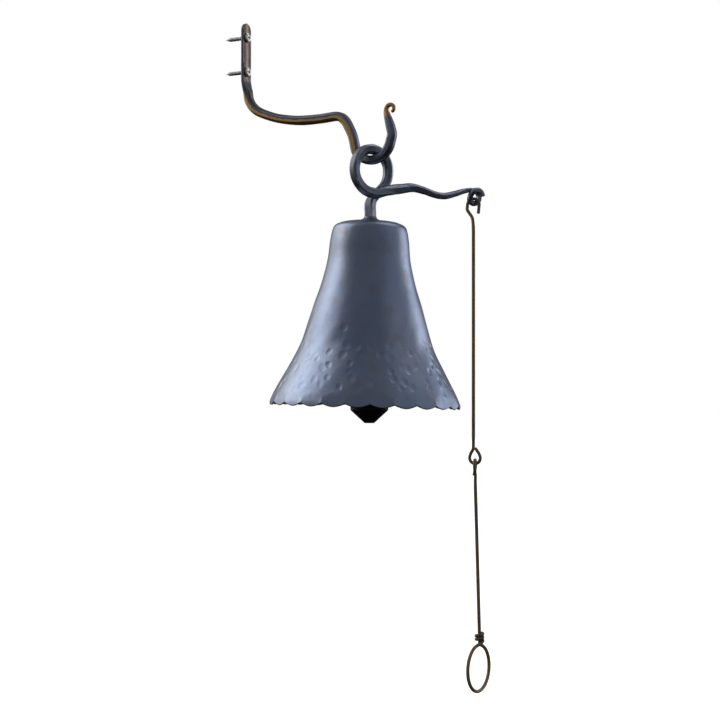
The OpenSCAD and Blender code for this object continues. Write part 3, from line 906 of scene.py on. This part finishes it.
class Finish:
    """A material's node tree, with short ways to add what a finish is made of."""

    def __init__(self, name, metallic, roughness):
        self.material = bpy.data.materials.new(name)
        self.material.use_nodes = True
        self.nodes = self.material.node_tree.nodes
        self.links = self.material.node_tree.links
        self.shader = self.nodes["Principled BSDF"]
        self.shader.inputs["Metallic"].default_value = metallic
        self.shader.inputs["Roughness"].default_value = roughness
        self.coords = self.nodes.new("ShaderNodeTexCoord").outputs["Object"]

    def fill(self, socket, value):
        """Links the socket to another one, or gives it a plain value."""
        if isinstance(value, bpy.types.NodeSocket):
            self.links.new(value, socket)
        else:
            socket.default_value = value

    def noise(self, size_mm, detail=3.0, rough=0.55, stretch=(1, 1, 1)):
        """Noise with features about this size."""
        node = self.nodes.new("ShaderNodeTexNoise")
        mapping = self.nodes.new("ShaderNodeMapping")
        mapping.inputs["Scale"].default_value = [1 / (size_mm * MM * k) for k in stretch]
        self.links.new(self.coords, mapping.inputs["Vector"])
        self.links.new(mapping.outputs["Vector"], node.inputs["Vector"])
        node.inputs["Scale"].default_value = 1
        node.inputs["Detail"].default_value = detail
        node.inputs["Roughness"].default_value = rough
        return node.outputs["Fac"]

    def ramp(self, value, low, high, to_low=0.0, to_high=1.0):
        """Runs smoothly from to_low to to_high as the value goes from low to high."""
        node = self.nodes.new("ShaderNodeMapRange")
        node.interpolation_type = "SMOOTHSTEP"
        for socket, v in zip(node.inputs, (value, low, high, to_low, to_high)):
            self.fill(socket, v)
        return node.outputs["Result"]

    def mix(self, share, a, b):
        """Color a where share is 0, and b where it is 1."""
        node = self.nodes.new("ShaderNodeMix")
        node.data_type = "RGBA"
        self.fill(node.inputs["Factor"], share)
        for key, value in (("A", a), ("B", b)):
            socket = next(i for i in node.inputs if i.name == key and i.type == "RGBA")
            self.fill(socket, value if isinstance(value, bpy.types.NodeSocket) else (*value, 1))
        return next(o for o in node.outputs if o.type == "RGBA")

    def add(self, a, b, scale_b=1.0):
        """a + b * scale_b."""
        node = self.nodes.new("ShaderNodeMath")
        node.operation = "MULTIPLY_ADD"
        self.fill(node.inputs[0], b)
        self.fill(node.inputs[1], scale_b)
        self.fill(node.inputs[2], a)
        return node.outputs[0]

    def attribute(self, name):
        """A value that piece() has put on the mesh's points."""
        node = self.nodes.new("ShaderNodeAttribute")
        node.attribute_name = name
        return node.outputs["Fac"]

    def worn_edges(self, low, high):
        """1 where an edge stands out, and 0 elsewhere."""
        geometry = self.nodes.new("ShaderNodeNewGeometry")
        return self.ramp(geometry.outputs["Pointiness"], low, high)

    def finish(self, color, roughness, height, bump_mm, strength):
        """Fills the shader in, with a bump from the height, and gives the material."""
        self.fill(self.shader.inputs["Base Color"], color)
        self.fill(self.shader.inputs["Roughness"], roughness)
        bump = self.nodes.new("ShaderNodeBump")
        bump.inputs["Strength"].default_value = strength
        bump.inputs["Distance"].default_value = bump_mm * MM
        self.links.new(height, bump.inputs["Height"])
        self.links.new(bump.outputs["Normal"], self.shader.inputs["Normal"])
        return self.material


def sheet_finish():
    """Satin blackened sheet steel: blue-grey, with warmer patches, and a painted dark line of shade
    along the rim's edge, brown in patches of wear.
    """
    f = Finish("blackened_sheet", 1.0, 0.4)
    blue, grey = (0.25, 0.295, 0.39), (0.30, 0.33, 0.405)
    warm, speck = (0.29, 0.265, 0.295), (0.20, 0.22, 0.27)
    black, brown = (0.03, 0.028, 0.028), (0.32, 0.19, 0.08)
    streak = f.noise(34, 4, 0.6, stretch=(1, 1, 3.5))
    patch = f.noise(20, 5, 0.62)
    fine = f.noise(0.9, 3)
    color = f.mix(f.ramp(streak, 0.35, 0.68), blue, grey)
    color = f.mix(f.ramp(patch, 0.5, 0.72, 0.0, 0.75), color, warm)
    color = f.mix(f.ramp(fine, 0.45, 0.8, 0.0, 0.35), color, speck)
    # Painted shade: a thin dark line along the rim's edge, inside and out, brown in patches of wear.
    edge = f.mix(f.ramp(patch, 0.42, 0.54), black, brown)
    color = f.mix(f.attribute("rim_shade_and_wear"), color, edge)
    rough = f.add(f.ramp(patch, 0.3, 0.75, 0.27, 0.37), f.noise(5, 3), 0.05)
    height = f.add(f.noise(7, 3), fine, 0.16)
    return f.finish(color, rough, height, 0.22, 0.7)


def forged_finish(name, with_patina_and_painted_light=False):
    """Waxed forge scale, blue-black. With patina and painted light, it has gone bronze and brown in
    places, with a painted warm reflection low on the arm and painted shade on the plate's edges.
    """
    f = Finish(name, 0.82, 0.48)
    patch = f.noise(12, 5, 0.6)
    fine = f.noise(0.8, 4)
    scale, light_scale, bare_metal_and_highlight = (0.175, 0.195, 0.24), (0.215, 0.22, 0.25), (0.46, 0.48, 0.54)
    color = f.mix(f.ramp(patch, 0.36, 0.64), scale, light_scale)
    if with_patina_and_painted_light:
        ragged = f.ramp(f.noise(4, 4, 0.6), 0.3, 0.7, -0.3, 0.3)
        bronze = f.ramp(f.add(ragged, f.attribute("bronze")), 0.35, 0.75)
        oxide = f.ramp(f.add(ragged, f.attribute("oxide")), 0.25, 0.75)
        color = f.mix(f.attribute("aged"), color, (0.145, 0.135, 0.135))
        # Bronze: patina on the scroll, and a painted warm reflection in a band on the arm.
        color = f.mix(bronze, color, (0.62, 0.36, 0.12))
        color = f.mix(oxide, color, (0.31, 0.20, 0.145))
        # Painted shade on the plate's side edges.
        color = f.mix(f.attribute("painted_shade"), color, (0.03, 0.025, 0.022))
    color = f.mix(f.ramp(fine, 0.5, 0.8, 0.0, 0.45), color, (0.07, 0.065, 0.07))
    most = 0.3 if with_patina_and_painted_light else 1.0
    # Edge wear and a painted highlight: the bar's ridges are lightened towards bare grey metal.
    worn = f.ramp(f.add(f.attribute("ridge"), patch, 0.6), 0.45, 1.2, 0.0, most)
    color = f.mix(worn, color, bare_metal_and_highlight)
    rough = f.add(f.ramp(patch, 0.3, 0.7, 0.27, 0.4), fine, 0.08)
    height = f.add(f.noise(3, 3), fine, 0.35)
    return f.finish(color, rough, height, 0.2, 0.5)


def wire_finish():
    """Annealed wire gone bronze-brown, with grey scale and black specks."""
    f = Finish("annealed_wire", 0.12, 0.5)
    f.shader.inputs["Specular IOR Level"].default_value = 0.2
    patch = f.noise(9, 4, 0.6, stretch=(1, 1, 2.5))
    scale = f.noise(16, 3, 0.6)
    fine = f.noise(0.6, 3)
    color = f.mix(f.ramp(patch, 0.38, 0.66), (0.38, 0.24, 0.085), (0.40, 0.28, 0.14))
    color = f.mix(f.ramp(scale, 0.5, 0.64, 0.0, 0.7), color, (0.17, 0.18, 0.205))
    # Painted shade on the coil and the ring's top.
    color = f.mix(f.attribute("painted_shade"), color, (0.025, 0.022, 0.02))
    color = f.mix(f.ramp(fine, 0.5, 0.8, 0.0, 0.6), color, (0.05, 0.045, 0.045))
    rough = f.add(f.ramp(patch, 0.3, 0.7, 0.34, 0.46), fine, 0.08)
    return f.finish(color, rough, f.add(f.noise(2, 2), fine, 0.4), 0.08, 0.6)


def inner_finish():
    """Dull, uncoated steel inside the bell."""
    f = Finish("dull_steel", 1.0, 0.5)
    patch = f.noise(5, 4, 0.6)
    fine = f.noise(0.5, 3)
    color = f.mix(f.ramp(patch, 0.35, 0.7), (0.30, 0.285, 0.265), (0.21, 0.18, 0.15))
    color = f.mix(f.worn_edges(0.52, 0.62), color, (0.5, 0.48, 0.45))
    rough = f.add(f.ramp(patch, 0.3, 0.7, 0.4, 0.58), fine, 0.08)
    return f.finish(color, rough, f.add(patch, fine, 0.4), 0.1, 0.5)


def black_finish():
    """The bob's satin black."""
    f = Finish("satin_black", 0.0, 0.45)
    f.shader.inputs["Specular IOR Level"].default_value = 0.35
    patch = f.noise(6, 4, 0.6)
    fine = f.noise(0.5, 3)
    color = f.mix(f.ramp(patch, 0.35, 0.7), (0.006, 0.006, 0.007), (0.014, 0.013, 0.013))
    color = f.mix(f.worn_edges(0.54, 0.66), color, (0.07, 0.055, 0.04))
    rough = f.add(f.ramp(patch, 0.3, 0.7, 0.4, 0.55), fine, 0.1)
    return f.finish(color, rough, f.add(patch, fine, 0.4), 0.06, 0.5)


def screw_finish():
    """Nickel-plated steel, slightly dulled."""
    f = Finish("worn_nickel", 1.0, 0.3)
    patch = f.noise(2.5, 4, 0.6)
    fine = f.noise(0.3, 3)
    color = f.mix(f.ramp(patch, 0.35, 0.7), (0.92, 0.86, 0.79), (0.74, 0.67, 0.60))
    color = f.mix(f.ramp(fine, 0.55, 0.8, 0.0, 0.5), color, (0.35, 0.31, 0.27))
    rough = f.add(f.ramp(patch, 0.3, 0.7, 0.26, 0.42), fine, 0.08)
    return f.finish(color, rough, f.add(patch, fine, 0.4), 0.05, 0.5)


# ---- Studio ----

CAMERA_AT = (0.969, -1.378, -0.320)
CAMERA_AZIMUTH = 31.0
FLOOR_Z = -0.70
ROOM_BASE = (0.012, 0.011, 0.010)

# Azimuth, elevation, core, edge and color of the ceiling, of a window on the left and two lights
# above it, and of a brighter window on the right with a dim wall before it and a light above it
ROOM_LIGHTS = [
    (0, 90, 82, 122, (0.145, 0.16, 0.195)),
    (-117, 14, 20, 37, (0.95, 0.93, 0.89)),
    (-132, 36, 8, 26, (0.5, 0.525, 0.56)),
    (-112, 60, 14, 42, (0.17, 0.185, 0.21)),
    (122, 6, 8, 25, (1.35, 1.42, 1.55)),
    (84, 24, 8, 50, (0.15, 0.165, 0.19)),
    (126, 58, 8, 26, (0.8, 0.84, 0.9)),
]


def camera():
    data = bpy.data.cameras.new("camera")
    data.lens = 80
    data.sensor_width = 36
    obj = bpy.data.objects.new("camera", data)
    obj.location = CAMERA_AT
    obj.rotation_euler = (math.pi / 2, 0, math.radians(CAMERA_AZIMUTH))
    bpy.context.scene.collection.objects.link(obj)
    bpy.context.scene.camera = obj


def beside(azimuth, elevation):
    """A direction, its azimuth counted to the right from the camera's side of the object."""
    a = math.radians(CAMERA_AZIMUTH - 90 + azimuth)
    e = math.radians(elevation)
    return np.array([math.cos(e) * math.cos(a), math.cos(e) * math.sin(a), math.sin(e)])


class Room:
    """What the metal reflects: a dim room with wide, soft lights in it."""

    def __init__(self):
        world = bpy.data.worlds.new("studio")
        bpy.context.scene.world = world
        world.use_nodes = True
        self.nodes = world.node_tree.nodes
        self.links = world.node_tree.links
        self.nodes.clear()
        self.direction = self.nodes.new("ShaderNodeTexCoord").outputs["Generated"]
        self.total = None

    def vector(self, operation, first):
        """A vector operation whose first input is this socket."""
        node = self.nodes.new("ShaderNodeVectorMath")
        node.operation = operation
        self.links.new(first, node.inputs[0])
        return node

    def wide_light(self, azimuth, elevation, core, edge, color):
        """A soft round light: full within core degrees of its middle, nothing beyond edge."""
        dot = self.vector("DOT_PRODUCT", self.direction)
        dot.inputs[1].default_value = beside(azimuth, elevation)
        share = self.nodes.new("ShaderNodeMapRange")
        share.interpolation_type = "SMOOTHSTEP"
        self.links.new(dot.outputs["Value"], share.inputs["Value"])
        share.inputs["From Min"].default_value = math.cos(math.radians(edge))
        share.inputs["From Max"].default_value = math.cos(math.radians(core))
        tint = self.vector("SCALE", self.color(color))
        self.links.new(share.outputs["Result"], tint.inputs["Scale"])
        self.add(tint.outputs[0])

    def color(self, value):
        node = self.nodes.new("ShaderNodeCombineXYZ")
        for socket, part in zip(node.inputs, value):
            socket.default_value = part
        return node.outputs[0]

    def add(self, color):
        total = self.vector("ADD", self.total)
        self.links.new(color, total.inputs[1])
        self.total = total.outputs[0]

    def finish(self):
        """The camera itself sees plain white behind the object."""
        out = self.nodes.new("ShaderNodeOutputWorld")
        blend = self.nodes.new("ShaderNodeMixShader")
        path = self.nodes.new("ShaderNodeLightPath")
        seen_in_metal = self.nodes.new("ShaderNodeBackground")
        white = self.nodes.new("ShaderNodeBackground")
        white.inputs["Color"].default_value = (1, 1, 1, 1)
        self.links.new(self.total, seen_in_metal.inputs["Color"])
        self.links.new(path.outputs["Is Camera Ray"], blend.inputs["Fac"])
        self.links.new(seen_in_metal.outputs[0], blend.inputs[1])
        self.links.new(white.outputs[0], blend.inputs[2])
        self.links.new(blend.outputs[0], out.inputs["Surface"])


def room():
    r = Room()
    r.total = r.color(ROOM_BASE)
    for light in ROOM_LIGHTS:
        r.wide_light(*light)
    r.finish()


def floor():
    """A plain pale floor, bright enough to run into the white behind it."""
    bpy.ops.mesh.primitive_circle_add(
        vertices=96, radius=6, fill_type="NGON", location=(0, 0, FLOOR_Z))
    obj = bpy.context.object
    obj.name = "studio_floor"
    obj.visible_glossy = False
    obj.visible_diffuse = False
    f = Finish("pale_floor", 0.0, 0.9)
    f.shader.inputs["Base Color"].default_value = (0.85, 0.85, 0.85, 1)
    f.shader.inputs["Specular IOR Level"].default_value = 0
    f.shader.inputs["Emission Color"].default_value = (1, 1, 1, 1)
    f.shader.inputs["Emission Strength"].default_value = 0.9
    obj.data.materials.append(f.material)


def key_light():
    """One large softbox, high on the left, for the parts that do not reflect the room."""
    data = bpy.data.lights.new("key_light", "AREA")
    data.size = 1.2
    data.energy = 4
    toward, distance, middle = beside(-95, 35), 1.6, [0.15, 0, -0.25]
    obj = bpy.data.objects.new("key_light", data)
    obj.location = toward * distance + middle
    obj.rotation_euler = Vector(-toward).to_track_quat("-Z", "Y").to_euler()
    obj.visible_camera = False
    bpy.context.scene.collection.objects.link(obj)


def studio():
    bpy.context.scene.view_settings.view_transform = "Standard"
    camera()
    room()
    floor()
    key_light()


def build():
    forged = forged_finish("forged_black")
    inner = inner_finish()
    wire = wire_finish()
    wall_bracket(forged_finish("forged_brown_black", with_patina_and_painted_light=True))
    wall_screws(screw_finish())
    hanger_bar(forged)
    crown_collar(forged)
    bell_shell(sheet_finish())
    crown_washer(inner)
    clapper_clevis(inner)
    crown_nut(inner)
    clapper_pin(inner)
    clapper_rod(inner)
    clapper_lock_nut(inner)
    clapper_bob(black_finish())
    pull_rod_upper(wire)
    pull_rod_lower(wire)


build()
studio()
